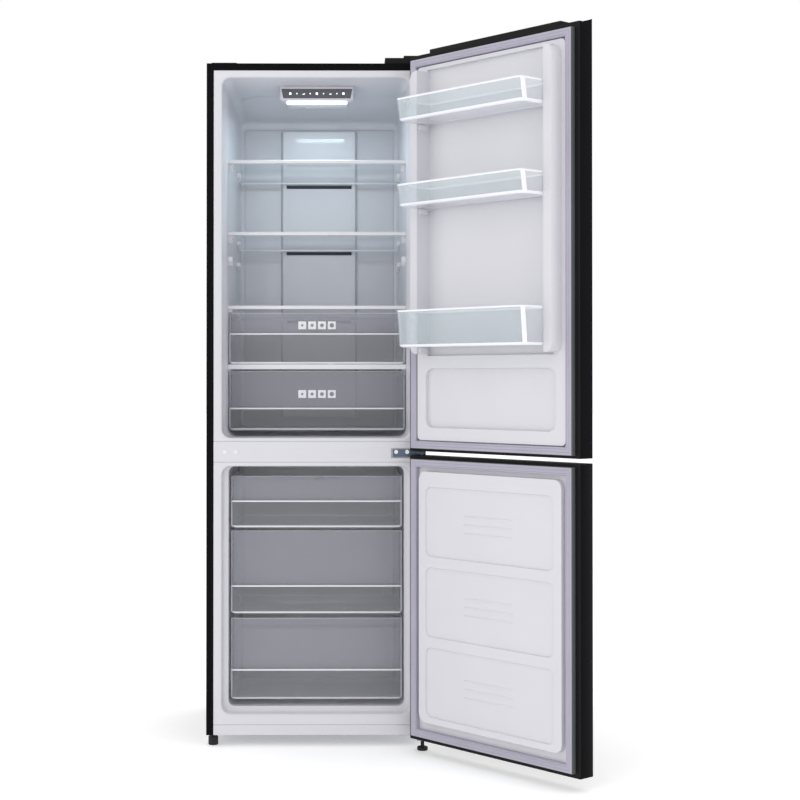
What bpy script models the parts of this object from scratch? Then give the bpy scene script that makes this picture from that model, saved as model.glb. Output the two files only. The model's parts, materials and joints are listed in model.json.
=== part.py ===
"""Two-door refrigerator with the freezer below the fridge, doors standing open.

Lengths are metres and +Z is up. Everything is laid out with X across the
cabinet from its centre line, Y into the cabinet from its front face and Z up
from the floor, and the root empty then puts the whole object on the origin.
A door is laid out closed, about its hinge pin, and its pivot empty opens it.
"""
import math

import bmesh
import bpy
from mathutils import Matrix, Vector

OBJECT_NAME = "bottom_freezer_refrigerator"

# Cabinet
WIDTH = 0.595
DEPTH = 0.556
TOP = 1.852
BOTTOM = 0.030
STEEL = 0.0015
RETURN = 0.019
GAP = 0.0003
HALF = WIDTH / 2
FRAME_HALF = HALF - RETURN - GAP
FLANGE = 0.012
LINER = 0.003
KICK_TOP = 0.058
RAIL_BOTTOM = 0.7686
RAIL_TOP = 0.825

# Compartments
MOUTH_HALF = 0.255
BACK_HALF = 0.240
CORNER = 0.024
FRIDGE_FLOOR = 0.8345
FRIDGE_CEILING = 1.813
CEILING_FALL = 0.010
COVE_START = 0.250
COVE_FALL = 0.036
FRIDGE_DEPTH = 0.475
FREEZER_FLOOR = 0.088
FREEZER_CEILING = 0.757
FREEZER_DEPTH = 0.470
FREEZER_HALVES = (0.2390, 0.2375)
RECESS_DEPTH = 0.025
RECESS_SILL = 0.0145
LOW_CORNER = 0.010
STEP_DEPTH = 0.348
STEP_HEIGHT = 0.264
DRAWN_IN = 0.0005
BAY_FRONT = 0.397
BAY_TOP = 0.215

# Shelves and drawers
SHELF_TOPS = (1.606, 1.405, 1.199)
SPARE_SHELF_TOP = 1.342
COVER_TOP = 1.035
SHELF_FRONT = 0.125
SHELF_BACK = 0.447
GLASS = 0.004
GLASS_HALF = 0.238
TRIM_HALF = 0.2492
TRIM_DEPTH = 0.018
TRIM_HEIGHT = 0.010
COVER_TRIM_HEIGHT = 0.014
REBATE = 0.009
LUG_HEIGHT = 0.011
LUG_INNER = 0.2325
SHELF_LUGS = ((0.150, 0.176), (0.380, 0.404))
LEDGE_INNER = 0.214
LEDGE_HEIGHT = 0.0075
LEDGE_FRONT = 0.050
UPPER_LEDGE_END = 0.400
LOWER_LEDGE_END = 0.330
WALL = 0.003
BULGE = 0.010
SKID_X = 0.190
SKID_HALF = 0.006
PANEL_DEPTHS = (0.100, 0.245)
PANEL_BOTTOM = 1.768
LENS_TOP = PANEL_BOTTOM - 0.0004

# Drawers: name, floor, rim, and the height of the grip that the front swells out below
FRIDGE_DRAWERS = (("chiller_drawer", 1.042, 1.178, 1.122), ("crisper_drawer", 0.851, 1.016, 0.914))
FRIDGE_DRAWER_HALVES = (0.2455, 0.234)
FRIDGE_DRAWER_DEPTHS = (0.132, 0.440)
FREEZER_DRAWERS = (("freezer_drawer_top", 0.587, 0.728, 0.662),
                   ("freezer_drawer_middle", 0.352, 0.578, 0.430),
                   ("freezer_drawer_bottom", 0.118, 0.339, 0.201))
FREEZER_DRAWER_HALVES = (0.2345, 0.224)
FREEZER_DRAWER_FRONT = 0.052
FREEZER_DRAWER_BACKS = (0.396, 0.396, 0.338)

# Cold side, machine bay, feet and rollers
DUCT_FRONT = 0.452
DUCT_HEIGHTS = (0.880, 1.735)
DUCT_SLOTS = (1.569, 1.370, 1.165)
DUCT_SLOT_HALF = 0.098
SLOT_HALF_HEIGHT = 0.0055
AIR_COVER_FRONT = 0.404
AIR_COVER_HALF = 0.236
AIR_SLOTS = (0.700, 0.560, 0.330)
FIN_GAPS = 15
FIN_PITCH = 0.026
FAN_HEIGHT = 0.655
FAN_DEPTH = 0.436
COMPRESSOR = (0.110, 0.474)
FEET = {"left": (-0.280, 0.026), "right": (0.286, -0.044)}
ROLLER_X = 0.245
ROLLER_Y = 0.525
ROLLER_RADIUS = 0.012
ROLLER_WIDTH = 0.018

# Doors, laid out closed about the hinge pin
PIN_X = 0.284
PIN_Y = -0.044
PIN_RADIUS = 0.0045
HOLE_RADIUS = 0.0052
OPENING = math.radians(131)
DOOR_CENTRE = -PIN_X
DOOR_LEFT = DOOR_CENTRE - HALF
DOOR_RIGHT = DOOR_CENTRE + HALF
DOOR_OUTER = -0.0190
DOOR_INNER = 0.0285
SKIN = 0.0015
PANEL = 0.002
GASKET_HALF = 0.283
GASKET_WIDTH = 0.021
GASKET_FACE = 0.0435
CAP_HEIGHT = 0.024
FRIDGE_DOOR = (0.802, 1.858)
FREEZER_DOOR = (0.034, 0.790)
CAP_RISE = 0.010
RISE_NEAR = -0.058
RISE_FAR = -0.5195
DYKE_HALF = 0.248
DYKE_WIDTH = 0.026
DYKE_FACE = 0.0765
BIN_FACE = 0.1560
BIN_HALF = DYKE_HALF - DYKE_WIDTH - 0.0008
CREST = (1.060, 1.806)
WELL = (CREST[0] - 0.005, CREST[1] + 0.005)
RIM = (0.8325, 1.8215)
RIM_HALF = 0.2595
RIM_FACE = 0.0385
BASIN = (0.866, 1.022)
BASIN_HALF = 0.228
FRIDGE_GASKET = (0.809, 1.845)
FREEZER_GASKET = (0.045, 0.782)
PLATEAU = (0.088, 0.750)
PLATEAU_HALF = 0.250
FIELD_TOP = 0.710
FIELD_PITCH = 0.2110
FIELD_HEIGHT = 0.183
FIELD_HALF = 0.224
BINS = (("top", 1.663, 1.722), ("middle", 1.441, 1.499), ("bottom", 1.076, 1.172))

BLACK = (0.012, 0.012, 0.014)
WHITE = (0.80, 0.79, 0.83)
GREY = (0.42, 0.41, 0.46)
CLEAR = (0.86, 0.90, 0.93)
STEEL_GREY = (0.45, 0.46, 0.48)


def clear_scene():
    for item in list(bpy.data.objects):
        bpy.data.objects.remove(item, do_unlink=True)


def new_collection(name):
    collection = bpy.data.collections.new(name)
    bpy.context.scene.collection.children.link(collection)
    return collection


def finish(name, color, roughness, metallic=0.0, alpha=1.0):
    material = bpy.data.materials.new(name)
    material.use_nodes = True
    shader = material.node_tree.nodes["Principled BSDF"]
    shader.inputs["Base Color"].default_value = (*color, 1.0)
    shader.inputs["Roughness"].default_value = roughness
    shader.inputs["Metallic"].default_value = metallic
    shader.inputs["Alpha"].default_value = alpha
    return material


def pivot(name, location, parent=None, turn=0.0):
    empty = bpy.data.objects.new(name, None)
    empty.location = location
    empty.rotation_euler[2] = turn
    empty.empty_display_size = 0.05
    empty.parent = parent
    PARTS.objects.link(empty)
    return empty


def link_mesh(name, bm, parent, look=None):
    """Give a bmesh an object: a part if it has a look, and a hidden tool if not."""
    mesh = bpy.data.meshes.new(name)
    bmesh.ops.recalc_face_normals(bm, faces=bm.faces)
    bm.to_mesh(mesh)
    bm.free()
    item = bpy.data.objects.new(name, mesh)
    item.parent = parent
    if look is None:
        TOOLS.objects.link(item)
        item.hide_render = True
        item.display_type = "WIRE"
    else:
        PARTS.objects.link(item)
        mesh.materials.append(finish(name, *look))
    return item


def cube_mesh(low, high):
    bm = bmesh.new()
    bmesh.ops.create_cube(bm, size=1.0)
    low = Vector(low)
    high = Vector(high)
    for vert in bm.verts:
        for axis in range(3):
            vert.co[axis] = low[axis] + (vert.co[axis] + 0.5) * (high[axis] - low[axis])
    return bm


def round_edges(bm, picks, radius, segments):
    """Round the edges that the test picks, by the vector along each of them."""
    edges = [edge for edge in bm.edges if picks(edge)]
    bmesh.ops.bevel(bm, geom=edges, offset=radius, segments=segments, profile=0.5,
                    affect="EDGES")


def runs_along(axis):
    def test(edge):
        along = (edge.verts[0].co - edge.verts[1].co).normalized()
        return abs(along[axis]) > 0.9
    return test


def block(name, low, high, parent, look=None, round_axis=None, radius=0.0, segments=2):
    bm = cube_mesh(low, high)
    if round_axis is not None:
        round_edges(bm, runs_along(round_axis), radius, segments)
    return link_mesh(name, bm, parent, look)


def tapered(name, front_half, back_half, ys, zs, parent, look=None, radius=0.0, back_zs=None):
    """A block that is symmetric in X, and whose back face has its own width and height."""
    back_zs = back_zs or zs
    bm = cube_mesh((-1, 0, 0), (1, 1, 1))
    for vert in bm.verts:
        half = back_half if vert.co.y > 0.5 else front_half
        heights = back_zs if vert.co.y > 0.5 else zs
        vert.co.z = heights[1] if vert.co.z > 0.5 else heights[0]
        vert.co.x *= half
        vert.co.y = ys[1] if vert.co.y > 0.5 else ys[0]
    if radius:
        round_edges(bm, runs_along(1), radius, 3)
    return link_mesh(name, bm, parent, look)


def cylinder(name, centre, radius, length, axis, parent, look=None, sides=24):
    bm = bmesh.new()
    bmesh.ops.create_cone(bm, cap_ends=True, segments=sides, radius1=radius, radius2=radius,
                          depth=length)
    turns = {"X": Matrix.Rotation(math.pi / 2, 4, "Y"), "Y": Matrix.Rotation(math.pi / 2, 4, "X"),
             "Z": Matrix.Identity(4)}
    bmesh.ops.transform(bm, matrix=Matrix.Translation(centre) @ turns[axis], verts=bm.verts)
    item = link_mesh(name, bm, parent, look)
    return item


def turned(name, profile, location, parent, look, sides=28):
    """A solid of revolution about Z from (radius, height) pairs, listed top to bottom."""
    bm = bmesh.new()
    points = [bm.verts.new((radius, 0.0, height)) for radius, height in profile]
    for start, end in zip(points, points[1:]):
        bm.edges.new((start, end))
    item = link_mesh(name, bm, parent, look)
    item.location = location
    screw = item.modifiers.new("turn", "SCREW")
    screw.steps = sides
    screw.render_steps = sides
    screw.use_merge_vertices = True
    screw.merge_threshold = 0.00005
    item.data.shade_smooth()
    return item


def boolean(target, tool, operation):
    modifier = target.modifiers.new(tool.name, "BOOLEAN")
    modifier.operation = operation
    modifier.object = tool
    modifier.solver = "EXACT"


def cut(target, *tools):
    for tool in tools:
        boolean(target, tool, "DIFFERENCE")


def join(target, *tools):
    for tool in tools:
        boolean(target, tool, "UNION")


def soften(item, width, segments=2):
    bevel = item.modifiers.new("soft_edges", "BEVEL")
    bevel.width = width
    bevel.segments = segments
    bevel.limit_method = "ANGLE"


# Cabinet body

def cabinet_shell(parent):
    shell = block("cabinet_shell", (-HALF, 0, BOTTOM), (HALF, DEPTH, TOP), parent,
                  (BLACK, 0.35, 0.3))
    inside = block("shell_inside", (-HALF + STEEL, STEEL, 0), (HALF - STEEL, 1, TOP - STEEL), parent)
    window = block("shell_window", (-HALF + RETURN, -1, 0), (HALF - RETURN, 0.5, TOP - RETURN),
                   parent)
    cut(shell, inside, window)


def fridge_wall(depth):
    """Half the width between the fridge compartment's side walls at a given depth."""
    return MOUTH_HALF + (BACK_HALF - MOUTH_HALF) * depth / FRIDGE_DEPTH


def freezer_wall(depth):
    """Half the width between the freezer's side walls, behind the recess at its mouth."""
    front, back = FREEZER_HALVES
    return front + (back - front) * depth / FREEZER_DEPTH


def ceiling(depth):
    """The height of the fridge compartment's nearly level ceiling at a given depth."""
    return FRIDGE_CEILING - CEILING_FALL * depth / COVE_START


def cove(name, grow, parent):
    """A tool whose underside is the slope from the ceiling down to the back wall."""
    knee = Vector((0, COVE_START, ceiling(COVE_START) + grow))
    slope = math.atan2(COVE_FALL, FRIDGE_DEPTH - COVE_START)
    bm = cube_mesh((-1, -0.1, 0), (1, 1, 1))
    bmesh.ops.transform(bm, matrix=Matrix.Translation(knee) @ Matrix.Rotation(-slope, 4, "X"),
                        verts=bm.verts)
    return link_mesh(name, bm, parent)


def fridge_cavity(name, grow, front, parent):
    """The fridge compartment's space, let out all round by grow."""
    back = FRIDGE_DEPTH + grow
    floor = FRIDGE_FLOOR - grow
    space = tapered(name, fridge_wall(front) + grow, fridge_wall(back) + grow, (front, back),
                    (floor, ceiling(front) + grow), parent, radius=CORNER + grow,
                    back_zs=(floor, ceiling(back) + grow))
    cut(space, cove(name + "_cove", grow, parent))
    return space


def freezer_cavity(name, grow, front, parent):
    """The freezer's space: a wide recess at its mouth, full depth above the machine bay's step
    and short below it.

    The short part and the recess are drawn in a little, so that no two faces are flush.
    """
    back = FREEZER_DEPTH + grow
    short_back = STEP_DEPTH + grow
    floor = FREEZER_FLOOR - grow
    radius = CORNER + grow
    space = tapered(name, freezer_wall(front) + grow, freezer_wall(back) + grow, (front, back),
                    (STEP_HEIGHT - grow, FREEZER_CEILING + grow), parent, radius=radius)
    short = tapered(name + "_short", freezer_wall(front) + grow - DRAWN_IN,
                    freezer_wall(short_back) + grow - DRAWN_IN, (front + DRAWN_IN, short_back),
                    (floor + RECESS_SILL, STEP_HEIGHT + 2 * radius), parent,
                    radius=LOW_CORNER + grow)
    recess = tapered(name + "_recess", MOUTH_HALF + grow, MOUTH_HALF + grow,
                     (front + 2 * DRAWN_IN, RECESS_DEPTH + grow),
                     (floor, FREEZER_CEILING + grow - DRAWN_IN), parent, radius=radius)
    join(space, short, recess)
    return space


def wall_supports(name, tops, stretches, inner, height, wall, parent):
    """Lugs on both side walls: one at each height and each stretch of depth."""
    bm = bmesh.new()
    for top in tops:
        for start, end in stretches:
            for side in (-1, 1):
                made = bmesh.ops.create_cube(bm, size=1.0)["verts"]
                for vert in made:
                    vert.co.y = end if vert.co.y > 0 else start
                    vert.co.z = top if vert.co.z > 0 else top - height
                    rooted = wall(vert.co.y) + LINER / 2
                    vert.co.x = side * (rooted if vert.co.x > 0 else inner)
    return link_mesh(name, bm, parent)


def fridge_liner(parent):
    liner = block("fridge_liner", (-FRAME_HALF, 0, RAIL_TOP), (FRAME_HALF, FLANGE, TOP - RETURN - GAP),
                  parent, (WHITE, 0.4))
    join(liner, fridge_cavity("fridge_outside", LINER, FLANGE / 2, parent))
    cut(liner, fridge_cavity("fridge_inside", 0.0, -0.1, parent))
    tops = [top - GLASS - 2 * GAP for top in (*SHELF_TOPS, SPARE_SHELF_TOP, COVER_TOP)]
    join(liner, wall_supports("shelf_lugs", tops, SHELF_LUGS, LUG_INNER, LUG_HEIGHT, fridge_wall,
                              parent))


def freezer_liner(parent):
    liner = block("freezer_liner", (-FRAME_HALF, 0, KICK_TOP), (FRAME_HALF, FLANGE, RAIL_BOTTOM),
                  parent, (WHITE, 0.4))
    join(liner, freezer_cavity("freezer_outside", LINER, FLANGE / 2, parent))
    cut(liner, freezer_cavity("freezer_inside", 0.0, -0.1, parent))
    drawer_floors = [drawn[1] - GAP for drawn in FREEZER_DRAWERS]
    high_tops = drawer_floors[:-1]
    low_tops = drawer_floors[-1:]
    for name, tops, end in (("upper_ledges", high_tops, UPPER_LEDGE_END),
                            ("lower_ledge", low_tops, LOWER_LEDGE_END)):
        join(liner, wall_supports(name, tops, ((LEDGE_FRONT, end),), LEDGE_INNER, LEDGE_HEIGHT,
                                  freezer_wall, parent))


def insulation(parent):
    foam = block("foam_insulation", (-HALF + STEEL + GAP, FLANGE + GAP, KICK_TOP + GAP),
                 (HALF - STEEL - GAP, DEPTH - 2 * STEEL, TOP - STEEL - GAP), parent,
                 ((0.72, 0.63, 0.40), 0.9))
    grow = LINER + GAP
    bay = block("bay_space", (-1, BAY_FRONT - STEEL - GAP, 0), (1, 1, BAY_TOP + STEEL + GAP), parent)
    cut(foam, fridge_cavity("foam_fridge", grow, -0.1, parent),
        freezer_cavity("foam_freezer", grow, -0.1, parent), bay)


def bay_lining(parent):
    lining = block("bay_lining", (-HALF + STEEL + GAP, BAY_FRONT - STEEL, KICK_TOP),
                   (HALF - STEEL - GAP, DEPTH - 2 * STEEL, BAY_TOP + STEEL), parent,
                   (STEEL_GREY, 0.5, 0.6))
    cut(lining, block("bay_inside", (-1, BAY_FRONT, 0), (1, 1, BAY_TOP), parent))


def back_panel(parent):
    block("back_panel", (-HALF + STEEL + GAP, DEPTH - 2 * STEEL + GAP, BAY_TOP + 2 * STEEL),
          (HALF - STEEL - GAP, DEPTH, TOP - STEEL - GAP), parent, (STEEL_GREY, 0.5, 0.6))


def base_tray(parent):
    """The folded floor sheet, with two lugs under it for each rear roller."""
    tray = block("base_tray", (-HALF + STEEL + GAP, FLANGE, BOTTOM + GAP),
                 (HALF - STEEL - GAP, DEPTH, KICK_TOP - STEEL), parent, (STEEL_GREY, 0.5, 0.6))
    cut(tray, block("tray_inside", (-HALF + 3 * STEEL, FLANGE + STEEL, BOTTOM + GAP + STEEL),
                    (HALF - 3 * STEEL, DEPTH - STEEL, 1), parent))
    for side in (-1, 1):
        for end in (-1, 1):
            middle = side * ROLLER_X + end * (ROLLER_WIDTH / 2 + 0.0025)
            lug = block(f"roller_lug_{side}_{end}", (middle - 0.0015, ROLLER_Y - 0.008, 0.006),
                        (middle + 0.0015, ROLLER_Y + 0.008, BOTTOM + STEEL), parent)
            join(tray, lug)
        cut(tray, cylinder(f"axle_hole_{side}", (side * ROLLER_X, ROLLER_Y, ROLLER_RADIUS), 0.0035,
                           ROLLER_WIDTH + 0.02, "X", parent, sides=16))


def kick_plate(parent):
    plate = block("kick_plate", (-FRAME_HALF, 0, BOTTOM + GAP),
                  (FRAME_HALF, 0.010, KICK_TOP - GAP), parent, (WHITE, 0.4))
    soften(plate, 0.001, 1)


def centre_rail(parent):
    rail = block("centre_rail", (-FRAME_HALF, 0, RAIL_BOTTOM + GAP), (FRAME_HALF, FLANGE, RAIL_TOP - GAP),
                 parent, (WHITE, 0.4))
    cut(rail, block("hinge_recess", (0.204, -1, 0.780), (1, 0.0035, 0.806), parent))


# Hinges

def top_hinge(parent):
    bracket = block("top_hinge_bracket", (0.205, 0.012, TOP + GAP), (0.288, 0.080, 1.8628), parent,
                    (STEEL_GREY, 0.35, 0.9))
    arm = block("top_arm", (PIN_X - 0.011, PIN_Y - 0.010, 1.8588), (PIN_X + 0.005, 0.020, 1.8628),
                parent)
    pin = cylinder("top_pin", (PIN_X, PIN_Y, 1.8500), PIN_RADIUS, 0.022, "Z", parent)
    join(bracket, arm, pin)
    cover = block("top_hinge_cover", (0.187, 0.006, TOP + GAP), (0.2940, 0.096, 1.8745), parent,
                  (BLACK, 0.45))
    low_side = block("cover_low_side", (0.10, -1, 1.8685), (0.238, 1, 2), parent)
    inside = block("cover_inside", (0.190, 0.009, 1.8), (0.2905, 0.093, 1.8655), parent)
    mouth = block("cover_mouth", (PIN_X - 0.0125, -1, 1.8), (0.2905, 0.05, 1.8655), parent)
    cut(cover, low_side, inside, mouth)
    blank = block("top_blank_cover", (-0.285, 0.008, TOP + GAP), (-0.216, 0.060, TOP + 0.0033),
                  parent, (BLACK, 0.45))
    soften(blank, 0.001, 1)


def centre_hinge(parent):
    bracket = block("centre_hinge_bracket", (0.2075, -0.0008, 0.783), (0.2780, 0.0030, 0.803),
                    parent, ((0.10, 0.13, 0.17), 0.4, 0.9))
    inner_arm = block("centre_inner_arm", (0.262, PIN_Y, 0.794), (0.2780, 0.001, 0.798), parent)
    arm = block("centre_arm", (PIN_X - 0.012, PIN_Y - 0.010, 0.794), (PIN_X + 0.009, -0.0008, 0.798),
                parent)
    pin = cylinder("centre_pin", (PIN_X, PIN_Y, 0.796), PIN_RADIUS, 0.042, "Z", parent)
    join(bracket, inner_arm, arm, pin)
    for number, x in enumerate((0.217, 0.247), 1):
        screw = cylinder(f"hinge_screw_{number}", (x, -0.0023, 0.7965), 0.0055, 0.0024, "Y", parent,
                         ((0.7, 0.7, 0.72), 0.25, 1.0), sides=20)
        slot = block(f"screw_slot_{number}", (x - 0.0032, -0.01, 0.7959),
                     (x + 0.0032, -0.0024, 0.7971), parent)
        cut(screw, slot)
        soften(screw, 0.0004, 1)


def bottom_hinge(parent):
    top = BOTTOM - GAP
    bracket = block("bottom_hinge_bracket", (0.225, 0.010, top - 0.003), (0.295, 0.075, top), parent,
                    (STEEL_GREY, 0.35, 0.9))
    arm = block("bottom_arm", (PIN_X - 0.013, PIN_Y - 0.012, top - 0.003),
                (PIN_X + 0.011, 0.020, top), parent)
    pin = cylinder("bottom_pin", (PIN_X, PIN_Y, top + 0.010), PIN_RADIUS, 0.023, "Z", parent)
    join(bracket, arm, pin)


# Cold side and machine bay

def air_duct_panel(parent):
    panel = tapered("air_duct_panel", 0.108, 0.116, (DUCT_FRONT, FRIDGE_DEPTH - GAP),
                    DUCT_HEIGHTS, parent, (WHITE, 0.45))
    for level in DUCT_SLOTS:
        cut(panel, block(f"duct_slot_{level}", (-DUCT_SLOT_HALF, 0, level - SLOT_HALF_HEIGHT),
                         (DUCT_SLOT_HALF, DUCT_FRONT + 0.010, level + SLOT_HALF_HEIGHT), parent))


def freezer_back(parent):
    cover = block("freezer_air_cover", (-AIR_COVER_HALF, AIR_COVER_FRONT, STEP_HEIGHT + 0.002),
                  (AIR_COVER_HALF, AIR_COVER_FRONT + WALL, FREEZER_CEILING - GAP), parent,
                  (WHITE, 0.5), round_axis=1, radius=CORNER, segments=3)
    for level in AIR_SLOTS:
        cut(cover, block(f"air_slot_{level}", (-0.120, 0.3, level - SLOT_HALF_HEIGHT),
                         (0.120, 0.5, level + SLOT_HALF_HEIGHT), parent))
    evaporator = block("evaporator", (-0.200, 0.416, 0.300), (0.200, 0.460, 0.560), parent,
                       ((0.75, 0.76, 0.78), 0.4, 1.0))
    for number in range(FIN_GAPS):
        x = (number - (FIN_GAPS - 1) / 2) * FIN_PITCH
        cut(evaporator, block(f"fin_gap_{number}", (x - 0.005, 0.3, 0.29), (x + 0.005, 0.428, 0.57),
                              parent))
    cylinder("fan_motor", (0, 0.4615, FAN_HEIGHT), 0.026, 0.016, "Y", parent, (GREY, 0.5),
             sides=24)


def fan_rotor(parent):
    rotor = cylinder("evaporator_fan", (0, 0, 0), 0.016, 0.018, "Y", parent, (GREY, 0.5), sides=20)
    for number in range(5):
        bm = cube_mesh((-0.013, -0.001, 0.012), (0.013, 0.001, 0.048))
        matrix = (Matrix.Rotation(number * math.tau / 5, 4, "Y")
                  @ Matrix.Rotation(math.radians(32), 4, "Z"))
        bmesh.ops.transform(bm, matrix=matrix, verts=bm.verts)
        join(rotor, link_mesh(f"fan_blade_{number}", bm, parent))


def control_panel(parent):
    panel = tapered("control_panel", 0.1025, 0.090, PANEL_DEPTHS,
                    (PANEL_BOTTOM, ceiling(PANEL_DEPTHS[0]) - GAP), parent, (GREY, 0.4),
                    back_zs=(PANEL_BOTTOM + 0.004, ceiling(PANEL_DEPTHS[1]) - GAP))
    soften(panel, 0.002, 2)
    lens = tapered("lamp_lens", 0.084, 0.078, (0.112, 0.190), (LENS_TOP - 0.0066, LENS_TOP),
                   parent, ((0.9, 0.95, 1.0), 0.3))
    soften(lens, 0.002, 2)


def machine_bay(parent):
    floor = BOTTOM + GAP + STEEL + GAP
    x, y = COMPRESSOR
    compressor = turned("compressor", ((0, 0.196), (0.028, 0.193), (0.050, 0.180), (0.062, 0.155),
                                       (0.064, 0.120), (0.067, 0.116), (0.067, 0.110),
                                       (0.064, 0.106), (0.060, 0.070), (0.046, 0.052), (0, 0.047)),
                        (x, y, 0), parent, (BLACK, 0.4), sides=32)
    tie = block("compressor_plate", (x - 0.095, y - 0.050, 0.047), (x + 0.095, y + 0.050, 0.053),
                parent)
    join(compressor, tie)
    for side in (-1, 1):
        for end in (-1, 1):
            mount = cylinder(f"mount_{side}_{end}", (x + side * 0.082, y + end * 0.038,
                                                     (floor + 0.049) / 2),
                             0.010, 0.049 - floor, "Z", parent, sides=16)
            join(compressor, mount)
    tray = block("evaporation_tray", (-0.170, 0.415, floor), (-0.010, 0.535, 0.078), parent,
                 (GREY, 0.5), round_axis=2, radius=0.012)
    cut(tray, block("tray_hollow", (-0.1675, 0.4175, floor + 0.0025), (-0.0125, 0.5325, 1), parent,
                    round_axis=2, radius=0.010))
    terminal = block("terminal_box", (-0.262, 0.470, 0.150), (-0.190, 0.540, BAY_TOP - GAP), parent,
                     (BLACK, 0.5), round_axis=1, radius=0.006)
    gland = cylinder("inlet_gland", (-0.226, 0.540, 0.178), 0.009, 0.026, "Y", parent, sides=24)
    bore = cylinder("inlet_bore", (-0.226, 0.545, 0.178), 0.0045, 0.030, "Y", parent, sides=24)
    join(terminal, gland)
    cut(terminal, bore)


# Shelves and drawers

def glass_sheet(name, top, parent):
    block(name, (-GLASS_HALF, SHELF_FRONT + REBATE, top - GLASS - GAP),
          (GLASS_HALF, SHELF_BACK, top - GAP), parent, (CLEAR, 0.05, 0.0, 0.35))


def front_trim(name, top, height, parent):
    """A moulded bar with a rebate that the glass lies in."""
    trim = block(name, (-TRIM_HALF, SHELF_FRONT, top - height),
                 (TRIM_HALF, SHELF_FRONT + TRIM_DEPTH, top), parent, (WHITE, 0.35))
    cut(trim, block(name + "_rebate", (-GLASS_HALF - GAP, SHELF_FRONT + REBATE - GAP,
                                       top - GLASS - 2 * GAP), (GLASS_HALF + GAP, 1, 2), parent))


def shelves(parent):
    for number, top in enumerate(SHELF_TOPS, 1):
        home = pivot(f"shelf_{number}_home", (0, 0, 0), parent)
        glass_sheet(f"shelf_glass_{number}", top, home)
        front_trim(f"shelf_trim_{number}", top, TRIM_HEIGHT, home)
    glass_sheet("crisper_cover", COVER_TOP, parent)
    front_trim("crisper_cover_trim", COVER_TOP, COVER_TRIM_HEIGHT, parent)
    slider = block("humidity_slider", (0.029, SHELF_FRONT + 0.0005, COVER_TOP + GAP),
                   (0.045, SHELF_FRONT + REBATE - 0.001, COVER_TOP + 0.0053), parent, (WHITE, 0.35))
    soften(slider, 0.0012, 1)


def drawer(name, halves, ys, zs, grip, parent, skids=0.0):
    """An open-topped clear box whose front swells out below the grip line.

    halves are its half widths at front and back, ys its depth range with the
    swelling left out, and skids the height of the two runners under it.
    """
    front_half, back_half = halves
    body = tapered(name, front_half, back_half, ys, zs, parent, (CLEAR, 0.15, 0.0, 0.4))
    swell = block(name + "_swell", (-front_half + 0.002, ys[0] - BULGE, zs[0]),
                  (front_half - 0.002, ys[0] + WALL, grip), parent, round_axis=2, radius=0.006)
    inside = tapered(name + "_inside", front_half - WALL, back_half - WALL,
                     (ys[0] + WALL, ys[1] - WALL), (zs[0] + WALL, 2), parent)
    pocket = block(name + "_pocket", (-front_half + 0.002 + WALL, ys[0] - BULGE + WALL, zs[0] + WALL),
                   (front_half - 0.002 - WALL, ys[0] + 2 * WALL, grip - WALL), parent)
    join(body, swell)
    cut(body, inside, pocket)
    if skids:
        for side in (-1, 1):
            middle = side * SKID_X
            join(body, block(f"{name}_skid_{side}",
                             (middle - SKID_HALF, ys[0] + 2 * SKID_HALF, zs[0] - skids),
                             (middle + SKID_HALF, ys[1] - 0.020, zs[0] + WALL / 2), parent))


def drawers(parent):
    for (name, bottom, top, grip), ground in zip(FRIDGE_DRAWERS, (COVER_TOP, FRIDGE_FLOOR)):
        drawer(name, FRIDGE_DRAWER_HALVES, FRIDGE_DRAWER_DEPTHS, (bottom, top), grip, parent,
               skids=bottom - ground - GAP)
    for (name, bottom, top, grip), back in zip(FREEZER_DRAWERS, FREEZER_DRAWER_BACKS):
        drawer(name, FREEZER_DRAWER_HALVES, (FREEZER_DRAWER_FRONT, back), (bottom, top), grip,
               parent)


# Doors

def hinge_hole(name, low, high, parent):
    return cylinder(name, (0, 0, (low + high) / 2), HOLE_RADIUS, high - low, "Z", parent)


def door_skin(name, zs, parent):
    skin = block(name, (DOOR_LEFT, DOOR_OUTER, zs[0]), (DOOR_RIGHT, DOOR_INNER, zs[1]), parent,
                 (BLACK, 0.3, 0.3), round_axis=2, radius=0.003)
    cut(skin, block(name + "_inside", (DOOR_LEFT + SKIN, DOOR_OUTER + SKIN, 0),
                    (DOOR_RIGHT - SKIN, 1, 3), parent))
    return skin


def door_cap(name, low, high, parent):
    inset = SKIN + GAP
    return block(name, (DOOR_LEFT + inset, DOOR_OUTER + inset, low),
                 (DOOR_RIGHT - inset, DOOR_INNER, high), parent, (BLACK, 0.5))


def door_gasket(name, zs, parent):
    """A soft magnetic frame, standing off the liner by its full height."""
    inner = GASKET_HALF - GASKET_WIDTH
    gasket = block(name, (DOOR_CENTRE - GASKET_HALF, DOOR_INNER + GAP, zs[0]),
                   (DOOR_CENTRE + GASKET_HALF, GASKET_FACE, zs[1]), parent, (GREY, 0.6))
    cut(gasket, block(name + "_window", (DOOR_CENTRE - inner, -1, zs[0] + GASKET_WIDTH),
                      (DOOR_CENTRE + inner, 1, zs[1] - GASKET_WIDTH), parent))


def door_core(name, zs, parent):
    inset = SKIN + GAP
    block(name, (DOOR_LEFT + inset, DOOR_OUTER + inset, zs[0] + GAP),
          (DOOR_RIGHT - inset, DOOR_INNER - PANEL - GAP, zs[1] - GAP), parent,
          ((0.72, 0.63, 0.40), 0.9))


def door_panel(name, zs, parent):
    inset = SKIN + GAP
    return block(name, (DOOR_LEFT + inset, DOOR_INNER - PANEL, zs[0] + GAP),
                 (DOOR_RIGHT - inset, DOOR_INNER, zs[1] - GAP), parent, (WHITE, 0.4))


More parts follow.
